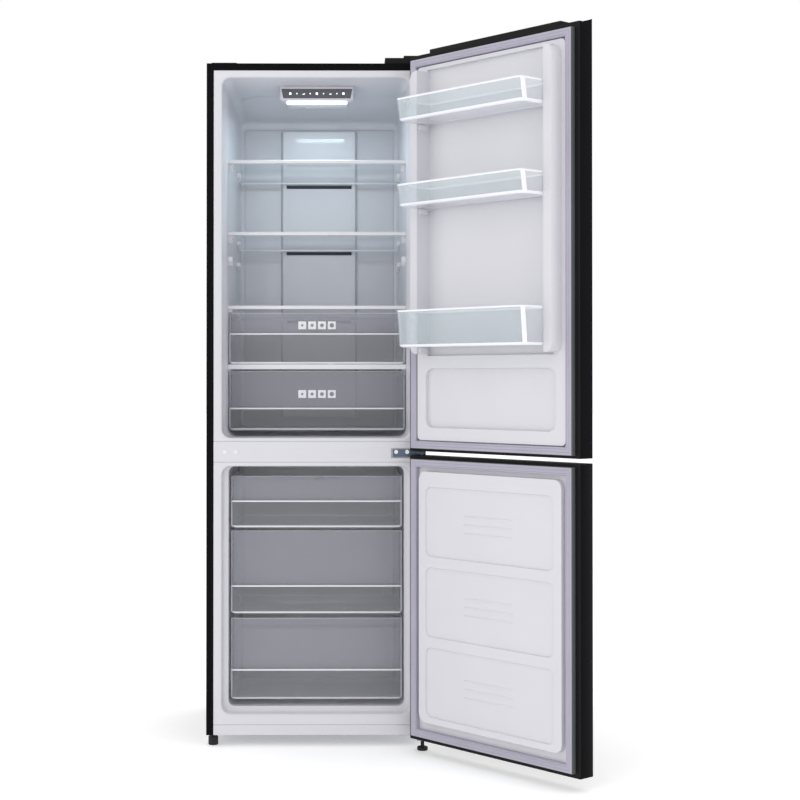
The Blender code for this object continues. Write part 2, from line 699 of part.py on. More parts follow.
def raised(name, half, zs, face, parent, radius=0.0):
    """A block that stands on a door's inner panel, symmetric about the door's middle."""
    return block(name, (DOOR_CENTRE - half, DOOR_INNER - PANEL / 2, zs[0]),
                 (DOOR_CENTRE + half, face, zs[1]), parent,
                 round_axis=1 if radius else None, radius=radius, segments=3)


def fridge_door(parent):
    door = pivot("fridge_door_pivot", (PIN_X, PIN_Y, 0), parent, OPENING)
    low, high = FRIDGE_DOOR
    inner = (low + CAP_HEIGHT, high - CAP_HEIGHT)
    skin = door_skin("fridge_door_skin", (low, high + CAP_RISE), door)
    cut(skin, block("skin_behind_lip", (-1, DOOR_OUTER + 0.005, high), (1, 1, 2), door),
        block("skin_by_hinge", (RISE_NEAR, -1, high), (1, 1, 2), door))
    top_cap = door_cap("fridge_door_cap_top", inner[1], high, door)
    rise = block("cap_rise", (RISE_FAR, DOOR_OUTER + 0.006, high - 0.005),
                 (RISE_NEAR, DOOR_INNER - 0.001, high + CAP_RISE), door, round_axis=2,
                 radius=0.004)
    join(top_cap, rise)
    cut(top_cap, hinge_hole("fridge_top_hole", 1.836, 2, door))
    bottom_cap = door_cap("fridge_door_cap_bottom", low, inner[0], door)
    cut(bottom_cap, hinge_hole("fridge_bottom_hole", 0.7, 0.820, door))
    door_core("fridge_door_core", inner, door)
    door_gasket("fridge_door_gasket", FRIDGE_GASKET, door)

    panel = door_panel("fridge_door_liner", inner, door)
    dyke = raised("dyke_block", DYKE_HALF, CREST, DYKE_FACE, door, radius=0.020)
    well = block("dyke_well", (DOOR_CENTRE - DYKE_HALF + DYKE_WIDTH, 0, WELL[0]),
                 (DOOR_CENTRE + DYKE_HALF - DYKE_WIDTH, 1, WELL[1]), door)
    rim = raised("liner_rim", RIM_HALF, RIM, RIM_FACE, door, radius=0.012)
    basin = block("liner_basin", (DOOR_CENTRE - BASIN_HALF, 0, BASIN[0]),
                  (DOOR_CENTRE + BASIN_HALF, 1, BASIN[1]), door, round_axis=1, radius=0.020)
    join(rim, dyke)
    cut(rim, well, basin)
    join(panel, rim)
    for name, bottom, _ in BINS:
        for side in (-1, 1):
            edge = DOOR_CENTRE + side * (BIN_HALF - 0.006)
            wall = DOOR_CENTRE + side * (DYKE_HALF - DYKE_WIDTH / 2)
            join(panel, block(f"bin_lug_{name}_{side}", (min(edge, wall), 0.045, bottom - 0.014),
                              (max(edge, wall), 0.070, bottom - GAP), door))
    for name, bottom, top in BINS:
        door_bin(f"door_bin_{name}", bottom, top, door)


def door_bin(name, bottom, top, parent):
    """A clear tray between the dykes, a little narrower at its floor than at its rim."""
    rear = DOOR_INNER + 0.002
    slope = 0.004
    bm = cube_mesh((DOOR_CENTRE - BIN_HALF, rear, bottom), (DOOR_CENTRE + BIN_HALF, BIN_FACE, top))
    for vert in bm.verts:
        if vert.co.z < (bottom + top) / 2 and vert.co.y > 0.1:
            vert.co.y -= 2 * slope
    round_edges(bm, lambda edge: runs_along(2)(edge) and edge.verts[0].co.y > 0.1, 0.018, 3)
    tray = link_mesh(name, bm, parent, (CLEAR, 0.1, 0.0, 0.35))
    hollow = cube_mesh((DOOR_CENTRE - BIN_HALF + WALL, rear + WALL, bottom + WALL),
                       (DOOR_CENTRE + BIN_HALF - WALL, BIN_FACE - WALL, top + 0.01))
    for vert in hollow.verts:
        if vert.co.z < (bottom + top) / 2 and vert.co.y > 0.1:
            vert.co.y -= 2 * slope
    round_edges(hollow, lambda edge: runs_along(2)(edge) and edge.verts[0].co.y > 0.1, 0.015, 3)
    cut(tray, link_mesh(name + "_hollow", hollow, parent))


def freezer_door(parent):
    door = pivot("freezer_door_pivot", (PIN_X, PIN_Y, 0), parent, OPENING)
    low, high = FREEZER_DOOR
    inner = (low + CAP_HEIGHT, high - CAP_HEIGHT)
    door_skin("freezer_door_skin", FREEZER_DOOR, door)
    top_cap = door_cap("freezer_door_cap_top", inner[1], high, door)
    cut(top_cap, hinge_hole("freezer_top_hole", 0.772, 1, door))
    bottom_cap = door_cap("freezer_door_cap_bottom", low, inner[0], door)
    cut(bottom_cap, hinge_hole("freezer_bottom_hole", 0, 0.052, door))
    door_core("freezer_door_core", inner, door)
    door_gasket("freezer_door_gasket", FREEZER_GASKET, door)
    panel = door_panel("freezer_door_liner", inner, door)
    join(panel, raised("freezer_plateau", PLATEAU_HALF, PLATEAU, GASKET_FACE, door, radius=0.022))
    for number in range(3):
        top = FIELD_TOP - number * FIELD_PITCH
        cut(panel, block(f"freezer_field_{number}",
                         (DOOR_CENTRE - FIELD_HALF, GASKET_FACE - 0.004, top - FIELD_HEIGHT),
                         (DOOR_CENTRE + FIELD_HALF, 1, top), door, round_axis=1, radius=0.018,
                         segments=3))


# Feet and rollers

def feet(parent):
    left = ((0, 0.0296), (0.004, 0.0296), (0.004, 0.0230), (0.0125, 0.0230), (0.0135, 0.0215),
            (0.0135, 0.0015), (0.0120, 0), (0, 0))
    right = ((0, 0.0262), (0.005, 0.0262), (0.005, 0.0110), (0.0125, 0.0100), (0.0145, 0.0085),
             (0.0145, 0.0015), (0.0130, 0), (0, 0))
    for side, profile in (("left", left), ("right", right)):
        turned(f"front_foot_{side}", profile, (*FEET[side], 0), parent, (BLACK, 0.6), sides=24)


def rollers(parent):
    for side, name in ((-1, "left"), (1, "right")):
        roller = cylinder(f"rear_roller_{name}", (0, 0, 0), ROLLER_RADIUS, ROLLER_WIDTH, "X", parent,
                          (GREY, 0.6), sides=28)
        axle = cylinder(f"roller_axle_{name}", (0, 0, 0), 0.003, ROLLER_WIDTH + 0.009, "X",
                        parent, sides=16)
        place = (side * ROLLER_X, ROLLER_Y, ROLLER_RADIUS)
        roller.location = place
        axle.location = place
        join(roller, axle)


def stand_on_origin(root):
    """Move the root so that the whole object stands centred on the origin."""
    bpy.context.view_layer.update()
    scene = bpy.context.evaluated_depsgraph_get()
    corners = []
    for item in PARTS.objects:
        if item.type == "MESH":
            placed = item.evaluated_get(scene)
            corners += [placed.matrix_world @ vert.co for vert in placed.data.vertices]
    lows = [min(point[axis] for point in corners) for axis in range(3)]
    highs = [max(point[axis] for point in corners) for axis in range(3)]
    root.location = (-(lows[0] + highs[0]) / 2, -(lows[1] + highs[1]) / 2, -lows[2])
    bpy.context.view_layer.update()


clear_scene()
PARTS = new_collection(OBJECT_NAME)
TOOLS = new_collection("cutters")
ROOT = pivot("refrigerator", (0, 0, 0))
for make in (cabinet_shell, fridge_liner, freezer_liner, insulation, bay_lining, back_panel,
             base_tray, kick_plate, centre_rail, top_hinge, centre_hinge, bottom_hinge,
             air_duct_panel, freezer_back, control_panel, machine_bay, shelves, drawers,
             fridge_door, freezer_door, feet, rollers):
    make(ROOT)
FAN = pivot("fan_axis", (0, FAN_DEPTH, FAN_HEIGHT), ROOT)
fan_rotor(FAN)
stand_on_origin(ROOT)
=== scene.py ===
"""The looks of a two-door refrigerator with its doors open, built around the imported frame.

Cabinet pieces are laid out with X across from the cabinet's centre line, Y in from its
front face and Z up. Door pieces are laid out closed, about the hinge pin, and DOOR opens
them. Places and sizes come from the frame's own boxes where it holds them, and from the
named values below where it doesn't.
"""
import json
import math

import bmesh
import bpy
from mathutils import Matrix, Vector


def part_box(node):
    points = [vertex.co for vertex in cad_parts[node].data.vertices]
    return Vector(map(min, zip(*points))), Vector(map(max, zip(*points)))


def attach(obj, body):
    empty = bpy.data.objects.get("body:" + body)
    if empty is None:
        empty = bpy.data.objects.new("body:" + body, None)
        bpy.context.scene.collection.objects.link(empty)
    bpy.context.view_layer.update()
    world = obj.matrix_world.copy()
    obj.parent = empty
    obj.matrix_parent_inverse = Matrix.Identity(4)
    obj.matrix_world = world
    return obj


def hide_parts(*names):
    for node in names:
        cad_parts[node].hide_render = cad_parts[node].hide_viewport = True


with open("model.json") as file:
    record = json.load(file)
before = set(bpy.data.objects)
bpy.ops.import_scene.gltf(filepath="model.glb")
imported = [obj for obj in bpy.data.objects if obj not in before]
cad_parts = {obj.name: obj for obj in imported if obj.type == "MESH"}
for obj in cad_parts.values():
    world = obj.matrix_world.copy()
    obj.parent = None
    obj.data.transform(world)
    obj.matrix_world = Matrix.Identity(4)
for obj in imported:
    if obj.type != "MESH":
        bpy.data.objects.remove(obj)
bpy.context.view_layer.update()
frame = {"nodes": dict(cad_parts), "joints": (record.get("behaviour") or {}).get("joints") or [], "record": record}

NODES = frame["nodes"]
BODY_OF = {node: body for body, nodes in frame["record"]["behaviour"]["bodies"].items()
           for node in nodes}
SLOT_OF = {part["node"]: part["material_slot"] for part in frame["record"]["subparts"]}

SHELL_LOW, SHELL_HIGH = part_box("cabinet_shell")
HINGE = next(joint for joint in frame["joints"] if joint["name"] == "fridge_door_hinge")
CABINET = Matrix.Translation(((SHELL_LOW.x + SHELL_HIGH.x) / 2, SHELL_LOW.y, 0))
DOOR = (Matrix.Translation((HINGE["pos_m"][0], HINGE["pos_m"][1], 0))
        @ Matrix.Rotation(-math.radians(HINGE["range_deg"][0]), 4, "Z"))


def local_box(node, place):
    """The lowest and highest corners of a CAD node in a layout's own coordinates."""
    back = place.inverted()
    points = [back @ vert.co for vert in NODES[node].data.vertices]
    low = Vector([min(point[axis] for point in points) for axis in range(3)])
    high = Vector([max(point[axis] for point in points) for axis in range(3)])
    return low, high


# Driving dimensions, read from the frame where it holds them

FRAME_HALF = local_box("kick_plate", CABINET)[1].x
FRIDGE_LOW, FRIDGE_HIGH = local_box("fridge_liner", CABINET)
FREEZER_LOW, FREEZER_HIGH = local_box("freezer_liner", CABINET)
LINER = 0.003
MOUTH_HALF = 0.255
BACK_HALF = 0.240
FRIDGE_FLOOR = local_box("crisper_drawer", CABINET)[0].z - 0.0003
FRIDGE_CEILING = 1.813
FRIDGE_BACK = FRIDGE_HIGH.y - LINER
FREEZER_FLOOR = FREEZER_LOW.z + 0.030
FREEZER_CEILING = FREEZER_HIGH.z - 0.0116
FREEZER_BACK = FREEZER_HIGH.y - LINER
STEP_DEPTH = 0.348
STEP_HEIGHT = 0.264
CORNER = 0.024
DUCT_SLOTS = (1.569, 1.370, 1.165)
DUCT_SLOT_HALF = 0.098
GASKET_WIDTH = 0.021
DOOR_HEIGHTS = {"fridge_door": 1.056, "freezer_door": 0.756}
DRAWER_GRIPS = {"chiller_drawer": 1.122, "crisper_drawer": 0.914, "freezer_drawer_top": 0.662,
                "freezer_drawer_middle": 0.430, "freezer_drawer_bottom": 0.201}
MARK_LEVELS = {"chiller_drawer": 1.144, "crisper_drawer": 0.952}
MARK_PITCH = 0.0275
MARK_HALF = 0.0110
MARK_COUNT = 4
FRONT_SWELL = 0.010
PLUG_PLACES = (-0.2465, -0.217)
PLUG_HEIGHT = 0.7965
FIELD_MIDDLE = 0.6185
FIELD_PITCH = 0.211
FIELD_DEPTH = 0.0040
RIB_PITCH = 0.022
RIB_HALF = 0.085
SCREW_ROWS = 7
SCREW_INSET = 0.012
SPACER_X = 0.200
SPACER_HEIGHTS = (1.770, 1.800)
CAMERA_PLACE = (0.084, -4.3591, 0.9973)
CAMERA_TILT = 90.5526
CAMERA_TURN = -0.2924
CAMERA_LENS = 72.3
CAMERA_SHIFT = (0.0559, -0.0471)


# Shapes

def rounded_ring(half, low, high, depth, radius, steps=6):
    """Points round a rectangle in the XZ plane, with each corner an arc."""
    points = []
    corners = ((half, high, 0.0), (-half, high, 0.5), (-half, low, 1.0), (half, low, 1.5))
    for x, z, turn in corners:
        centre_x = x - math.copysign(radius, x)
        centre_z = z + (radius if z == low else -radius)
        for step in range(steps + 1):
            angle = math.pi * turn + math.pi / 2 * step / steps
            points.append(Vector((centre_x + radius * math.cos(angle), depth,
                                  centre_z + radius * math.sin(angle))))
    return points


def plan_ring(level, half_front, half_back, front, back, radius, steps=4):
    """Points round a drawer or bin at one height, with each corner an arc."""
    points = []
    corners = ((half_back, back, 0.0), (-half_back, back, 0.5), (-half_front, front, 1.0),
               (half_front, front, 1.5))
    for x, y, turn in corners:
        centre_x = x - math.copysign(radius, x)
        centre_y = y + (radius if y == front else -radius)
        for step in range(steps + 1):
            angle = math.pi * turn + math.pi / 2 * step / steps
            points.append(Vector((centre_x + radius * math.cos(angle),
                                  centre_y + radius * math.sin(angle), level)))
    return points


def loft(bm, rings, closed=True):
    """Skins a row of rings that have the same number of points."""
    rows = [[bm.verts.new(point) for point in ring] for ring in rings]
    faces = []
    for row, following in zip(rows, rows[1:]):
        count = len(row)
        for index in range(count if closed else count - 1):
            after = (index + 1) % count
            faces.append(bm.faces.new((row[index], row[after], following[after],
                                       following[index])))
    return rows, faces


def piece(name, bm, place, body, materials, slot=None, replaces=(), sharp=35.0):
    """Gives a bmesh an object that rides on a CAD body."""
    bmesh.ops.remove_doubles(bm, verts=bm.verts, dist=1e-6)
    bmesh.ops.recalc_face_normals(bm, faces=bm.faces)
    mesh = bpy.data.meshes.new(name)
    bm.to_mesh(mesh)
    bm.free()
    item = bpy.data.objects.new(name, mesh)
    bpy.context.scene.collection.objects.link(item)
    item.matrix_world = place
    for material in materials:
        mesh.materials.append(material)
    mesh.shade_smooth()
    mesh.set_sharp_from_angle(angle=math.radians(sharp))
    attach(item, body)
    if replaces:
        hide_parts(*replaces)
    return item


def add_block(bm, low, high, width=0.0, segments=2, material=0):
    """Adds a box with rounded edges to a bmesh."""
    made = bmesh.ops.create_cube(bm, size=1.0)["verts"]
    for vert in made:
        for axis in range(3):
            vert.co[axis] = low[axis] + (vert.co[axis] + 0.5) * (high[axis] - low[axis])
    faces = {face for vert in made for face in vert.link_faces}
    for face in faces:
        face.material_index = material
    if width:
        edges = list({edge for vert in made for edge in vert.link_edges})
        bmesh.ops.bevel(bm, geom=edges, offset=width, segments=segments, profile=0.5,
                        affect="EDGES", material=material)


def add_disc(bm, centre, radius, length, axis, width=0.0, sides=24, material=0, tip=None):
    """Adds a cylinder, or a cone where a tip radius is given, along X, Y or Z."""
    turns = {"X": Matrix.Rotation(math.pi / 2, 4, "Y"), "Y": Matrix.Rotation(math.pi / 2, 4, "X"),
             "Z": Matrix.Identity(4)}
    made = bmesh.ops.create_cone(bm, cap_ends=True, segments=sides, radius1=radius,
                                 radius2=radius if tip is None else tip, depth=length,
                                 matrix=Matrix.Translation(centre) @ turns[axis])["verts"]
    faces = {face for vert in made for face in vert.link_faces}
    for face in faces:
        face.material_index = material
    if width:
        rims = [edge for edge in {edge for vert in made for edge in vert.link_edges}
                if edge.calc_face_angle(0) > 1.0]
        bmesh.ops.bevel(bm, geom=rims, offset=width, segments=2, profile=0.5, affect="EDGES",
                        material=material)


def add_tube(bm, points, radius, sides=10, material=0):
    """Adds a round pipe that runs through a row of points."""
    points = [Vector(point) for point in points]
    rings = []
    for index, point in enumerate(points):
        ahead = points[min(index + 1, len(points) - 1)] - points[max(index - 1, 0)]
        turn = ahead.to_track_quat("Z", "X")
        rings.append([point + turn @ Vector((radius * math.cos(math.tau * step / sides),
                                             radius * math.sin(math.tau * step / sides), 0))
                      for step in range(sides)])
    rows, faces = loft(bm, rings)
    faces += [bm.faces.new(rows[0]), bm.faces.new(rows[-1])]
    for face in faces:
        face.material_index = material


def bend(start, corner, end, radius, steps=5):
    """Points on a quarter turn from one straight run of pipe into the next."""
    start, corner, end = Vector(start), Vector(corner), Vector(end)
    first = corner + (start - corner).normalized() * radius
    last = corner + (end - corner).normalized() * radius
    points = [start]
    for step in range(steps + 1):
        share = step / steps
        points.append(first * (1 - share) ** 2 + corner * 2 * share * (1 - share)
                      + last * share ** 2)
    return points + [end]


def refined(node, width, material, segments=2, angle=30.0):
    """A copy of a CAD node with its edges rounded and its flat faces merged."""
    source = NODES[node]
    bm = bmesh.new()
    bm.from_mesh(source.data)
    bmesh.ops.remove_doubles(bm, verts=bm.verts, dist=1e-5)
    bmesh.ops.dissolve_limit(bm, angle_limit=math.radians(1.0), verts=bm.verts, edges=bm.edges)
    item = piece(node + "_finished", bm, Matrix.Identity(4), BODY_OF[node], [material],
                 SLOT_OF[node], (node,), sharp=angle)
    bevel = item.modifiers.new("soft_edges", "BEVEL")
    bevel.width = width
    bevel.segments = segments
    bevel.limit_method = "ANGLE"
    bevel.angle_limit = math.radians(angle)
    bevel.harden_normals = True
    return item


def thicken(item, thickness):
    """Gives a surface its wall, behind the side that its normals point out of."""
    wall = item.modifiers.new("wall", "SOLIDIFY")
    wall.thickness = thickness
    wall.offset = -1.0
    wall.use_even_offset = True
    return item


def soften(item, width, segments=3):
    bevel = item.modifiers.new("soft_edges", "BEVEL")
    bevel.width = width
    bevel.segments = segments
    bevel.limit_method = "ANGLE"
    bevel.harden_normals = True
    return item


def loft_sides(bm, front, rear):
    """Joins two outlines that have the same number of corners."""
    for index in range(len(front)):
        after = (index + 1) % len(front)
        bm.faces.new((front[index], front[after], rear[after], rear[index]))


# Materials

def new_material(name, color, roughness, metallic=0.0, coat=0.0, alpha=1.0):
    material = bpy.data.materials.new(name)
    material.use_nodes = True
    shader = material.node_tree.nodes["Principled BSDF"]
    shader.inputs["Base Color"].default_value = (*color, 1.0)
    shader.inputs["Roughness"].default_value = roughness
    shader.inputs["Metallic"].default_value = metallic
    shader.inputs["Coat Weight"].default_value = coat
    shader.inputs["Alpha"].default_value = alpha
    return material, shader


def noise(material, scale, detail=3.0, stretch=(1.0, 1.0, 1.0)):
    """Noise laid out in the object's own metres."""
    tree = material.node_tree
    place = tree.nodes.new("ShaderNodeTexCoord")
    size = tree.nodes.new("ShaderNodeMapping")
    size.inputs["Scale"].default_value = stretch
    texture = tree.nodes.new("ShaderNodeTexNoise")
    texture.inputs["Scale"].default_value = scale
    texture.inputs["Detail"].default_value = detail
    tree.links.new(place.outputs["Object"], size.inputs["Vector"])
    tree.links.new(size.outputs["Vector"], texture.inputs["Vector"])
    return texture.outputs["Fac"]


def spread(material, source, low, high):
    """Maps a 0 to 1 value onto a range."""
    node = material.node_tree.nodes.new("ShaderNodeMapRange")
    node.inputs["To Min"].default_value = low
    node.inputs["To Max"].default_value = high
    material.node_tree.links.new(source, node.inputs["Value"])
    return node.outputs["Result"]


def vary_color(material, shader, source, first, second):
    ramp = material.node_tree.nodes.new("ShaderNodeValToRGB")
    ramp.color_ramp.elements[0].position = 0.30
    ramp.color_ramp.elements[1].position = 0.70
    ramp.color_ramp.elements[0].color = (*first, 1.0)
    ramp.color_ramp.elements[1].color = (*second, 1.0)
    material.node_tree.links.new(source, ramp.inputs["Fac"])
    material.node_tree.links.new(ramp.outputs["Color"], shader.inputs["Base Color"])


def bump(material, shader, source, strength, distance):
    node = material.node_tree.nodes.new("ShaderNodeBump")
    node.inputs["Strength"].default_value = strength
    node.inputs["Distance"].default_value = distance
    material.node_tree.links.new(source, node.inputs["Height"])
    material.node_tree.links.new(node.outputs["Normal"], shader.inputs["Normal"])


def surface(name, color, roughness, grain, depth, drift=0.03, metallic=0.0, coat=0.0,
            stretch=(1.0, 1.0, 1.0), shine=0.5):
    """An opaque finish: a fine grain in its relief, and a slow drift of colour and gloss."""
    material, shader = new_material(name, color, roughness, metallic, coat)
    shader.inputs["Specular IOR Level"].default_value = shine
    slow = noise(material, 7.0, 2.0)
    light = [min(1.0, channel * (1.0 + drift)) for channel in color]
    dark = [channel * (1.0 - drift) for channel in color]
    vary_color(material, shader, slow, dark, light)
    material.node_tree.links.new(spread(material, slow, roughness * 0.85, roughness * 1.15),
                                 shader.inputs["Roughness"])
    bump(material, shader, noise(material, grain, 3.0, stretch), 0.35, depth)
    return material


def clear(name, color, face_on, edge_on, roughness, haze=0.0):
    """A see-through finish that thickens where it is seen edge on."""
    material, shader = new_material(name, color, roughness, coat=0.3)
    tree = material.node_tree
    facing = tree.nodes.new("ShaderNodeLayerWeight")
    facing.inputs["Blend"].default_value = 0.35
    alpha = spread(material, facing.outputs["Facing"], face_on, edge_on)
    if haze:
        cloud = spread(material, noise(material, 26.0, 4.0), -haze, haze)
        total = tree.nodes.new("ShaderNodeMath")
        total.operation = "ADD"
        total.use_clamp = True
        tree.links.new(alpha, total.inputs[0])
        tree.links.new(cloud, total.inputs[1])
        alpha = total.outputs["Value"]
    tree.links.new(alpha, shader.inputs["Alpha"])
    bump(material, shader, noise(material, 120.0, 2.0), 0.10, 0.0001)
    return material


def glowing(name, color, strength):
    material, shader = new_material(name, color, 0.4)
    tree = material.node_tree
    shader.inputs["Emission Color"].default_value = (*color, 1.0)
    tree.links.new(spread(material, noise(material, 40.0, 1.0), strength * 0.94, strength * 1.06),
                   shader.inputs["Emission Strength"])
    return material


LINER_WHITE = surface("liner_white", (0.64, 0.635, 0.675), 0.34, 420.0, 0.00006, 0.012, coat=0.2)
TRIM_WHITE = surface("trim_white", (0.72, 0.72, 0.75), 0.28, 600.0, 0.00004, 0.01, coat=0.3)
RAIL_WHITE = surface("rail_white", (0.64, 0.63, 0.675), 0.40, 700.0, 0.00005, 0.01, coat=0.1)
BLACK_STEEL = surface("black_steel", (0.0040, 0.0040, 0.0050), 0.42, 900.0, 0.00008, 0.10,
                      shine=0.04)
BLACK_PLASTIC = surface("black_plastic", (0.0085, 0.0080, 0.0080), 0.55, 1500.0, 0.00012, 0.10,
                        shine=0.14)
GASKET_SOFT = surface("gasket_soft", (0.40, 0.38, 0.46), 0.55, 1200.0, 0.00006, 0.04)
GASKET_SIDE = surface("gasket_side", (0.070, 0.080, 0.080), 0.62, 1200.0, 0.00006, 0.06)
PANEL_GREY = surface("panel_grey", (0.60, 0.59, 0.66), 0.30, 800.0, 0.00003, 0.02, coat=0.3)
FASCIA_GREY = surface("fascia_grey", (0.070, 0.072, 0.085), 0.22, 900.0, 0.00002, 0.05, coat=0.5)
GREY_PLASTIC = surface("grey_plastic", (0.22, 0.22, 0.24), 0.50, 1200.0, 0.00008, 0.05)
GALVANISED = surface("galvanised", (0.46, 0.47, 0.49), 0.42, 90.0, 0.00005, 0.03, metallic=0.85)
HINGE_STEEL = surface("hinge_steel", (0.10, 0.13, 0.18), 0.35, 300.0, 0.00006, 0.10,
                      metallic=0.85, stretch=(1.0, 1.0, 8.0))
CHROME = surface("chrome", (0.72, 0.72, 0.74), 0.18, 500.0, 0.00002, 0.03, metallic=1.0)
COPPER = surface("copper", (0.60, 0.31, 0.18), 0.32, 400.0, 0.00004, 0.12, metallic=1.0)
COMPRESSOR_BLACK = surface("compressor_black", (0.012, 0.012, 0.013), 0.38, 260.0, 0.00018, 0.2,
                           coat=0.2)
FOAM = surface("foam", (0.72, 0.63, 0.40), 0.95, 160.0, 0.0008, 0.10)
FIN_METAL = surface("fin_metal", (0.75, 0.76, 0.78), 0.35, 500.0, 0.00004, 0.05, metallic=1.0)
FOOT_BLACK = surface("foot_black", (0.012, 0.012, 0.013), 0.55, 1400.0, 0.0001, 0.1, shine=0.3)
SHADOW_GREY = surface("shadow_grey", (0.055, 0.060, 0.070), 0.60, 900.0, 0.00005, 0.05)

CLEAR_PLASTIC = clear("clear_plastic", (0.78, 0.80, 0.86), 0.08, 0.60, 0.10)
FROSTED_PLASTIC = clear("frosted_plastic", (0.44, 0.44, 0.51), 0.34, 0.70, 0.40, haze=0.008)
# Pale plastic for the drawer plates; on the clear drawers and bins it is painted highlight, bright lines where
# rims, corners and floor bends catch the light.
PLATE_AND_HIGHLIGHT_PLASTIC = clear("plate_and_highlight_plastic", (0.93, 0.94, 0.98), 0.78, 0.96, 0.15)
BIN_PLASTIC = clear("bin_plastic", (0.56, 0.64, 0.68), 0.24, 0.62, 0.30, haze=0.008)
GLASS = clear("shelf_glass", (0.70, 0.80, 0.82), 0.05, 0.35, 0.03)
LAMP = glowing("lamp_light", (0.86, 0.95, 1.0), 3.2)
INDICATOR = glowing("indicator_light", (0.92, 0.96, 1.0), 1.3)


# Cabinet

def cabinet_shell():
    """The wrapped steel body and its three mitred front members."""
    refined("cabinet_shell", 0.0008, BLACK_STEEL)


def wall_half(depth, cavity_depth):
    return MOUTH_HALF + (BACK_HALF - MOUTH_HALF) * depth / cavity_depth


def flange_ring(half, low, high, depth, inset=0.0):
    return rounded_ring(half - inset, low + inset, high - inset, depth, 0.0015)


def mouth_rings(low, high, lip, frame_low, frame_high):
    """From the folded-back outer edge of the flange, over the face, to the lip's end."""
    rings = [flange_ring(FRAME_HALF, frame_low, frame_high, 0.011),
             flange_ring(FRAME_HALF, frame_low, frame_high, 0.0012),
             flange_ring(FRAME_HALF, frame_low, frame_high, 0.0, 0.0012)]
    for step in range(6):
        angle = math.pi / 2 * step / 5
        grow = lip * (1 - math.sin(angle))
        rings.append(rounded_ring(MOUTH_HALF + grow, low - grow, high + grow,
                                  lip * (1 - math.cos(angle)), CORNER + grow))
    return rings


def liner_piece(name, rings, node):
    bm = bmesh.new()
    rows, _ = loft(bm, rings)
    bm.faces.new(rows[-1])
    item = piece(name, bm, CABINET, "cabinet", [LINER_WHITE], "white_liner", (node,), sharp=40.0)
    flange = min(item.data.polygons, key=lambda face: face.center.y)
    if flange.normal.y > 0:
        item.data.flip_normals()
    return thicken(item, 0.0022)


def back_rings(half, low, high, depth, radius, fillet):
    """A quarter-round from the walls into the back, ending flat against it."""
    rings = []
    for step in range(5):
        angle = math.pi / 2 * step / 4
        inset = fillet * (1 - math.cos(angle))
        rings.append(rounded_ring(half - inset, low + inset, high - inset,
                                  depth - fillet * (1 - math.sin(angle)),
                                  max(radius - inset, 0.004)))
    return rings


def fridge_liner():
    lip = 0.006
    rim_depth = 0.050
    cove_start = 0.250
    cove_drop = 0.036
    rings = mouth_rings(FRIDGE_FLOOR, FRIDGE_CEILING, lip, FRIDGE_LOW.z, FRIDGE_HIGH.z)
    for depth in (rim_depth, rim_depth + 0.004, 0.15, cove_start - 0.002, cove_start, 0.36):
        half = wall_half(depth, FRIDGE_BACK) - (0.0025 if depth > rim_depth else 0)
        fall = 0.010 * min(depth, cove_start) / cove_start
        fall += cove_drop * max(0.0, depth - cove_start) / (FRIDGE_BACK - cove_start)
        rings.append(rounded_ring(half, FRIDGE_FLOOR, FRIDGE_CEILING - fall, depth, CORNER))
    ceiling = FRIDGE_CEILING - 0.010 - cove_drop * 0.94
    rings += back_rings(BACK_HALF - 0.002, FRIDGE_FLOOR, ceiling, FRIDGE_BACK, CORNER, 0.014)
    panel_half = 0.2255
    panel_top = 1.744
    rings += [rounded_ring(panel_half, FRIDGE_FLOOR + 0.016, panel_top, FRIDGE_BACK, 0.010),
              rounded_ring(panel_half - 0.002, FRIDGE_FLOOR + 0.018, panel_top - 0.003,
                           FRIDGE_BACK - 0.004, 0.009),
              rounded_ring(panel_half - 0.004, FRIDGE_FLOOR + 0.020, panel_top - 0.005,
                           FRIDGE_BACK - 0.005, 0.008)]
    liner_piece("fridge_liner_moulding", rings, "fridge_liner")


def freezer_liner():
    lip = 0.006
    step_in = 0.0145
    rings = mouth_rings(FREEZER_FLOOR, FREEZER_CEILING, lip, FREEZER_LOW.z, FREEZER_HIGH.z)
    shoulder = 0.022
    rings.append(rounded_ring(MOUTH_HALF - 0.001, FREEZER_FLOOR + 0.001, FREEZER_CEILING - 0.001,
                              shoulder, CORNER))
    for step in range(1, 5):
        angle = math.pi / 2 * step / 4
        inset = 0.001 + step_in * (1 - math.cos(angle))
        rings.append(rounded_ring(MOUTH_HALF - inset, FREEZER_FLOOR + inset,
                                  FREEZER_CEILING - 0.001, shoulder + 0.006 * math.sin(angle),
                                  CORNER - inset * 0.4))
    low = FREEZER_FLOOR + step_in
    rings.append(rounded_ring(0.2385, low, FREEZER_CEILING - 0.001, 0.10, 0.018))
    rings.append(rounded_ring(0.2375, low, FREEZER_CEILING - 0.001, STEP_DEPTH - 0.002, 0.018))
    rings.append(rounded_ring(0.2375, STEP_HEIGHT, FREEZER_CEILING - 0.001, STEP_DEPTH, 0.018))
    rings += back_rings(0.2370, STEP_HEIGHT, FREEZER_CEILING - 0.001, FREEZER_BACK, 0.018, 0.010)
    liner_piece("freezer_liner_moulding", rings, "freezer_liner")


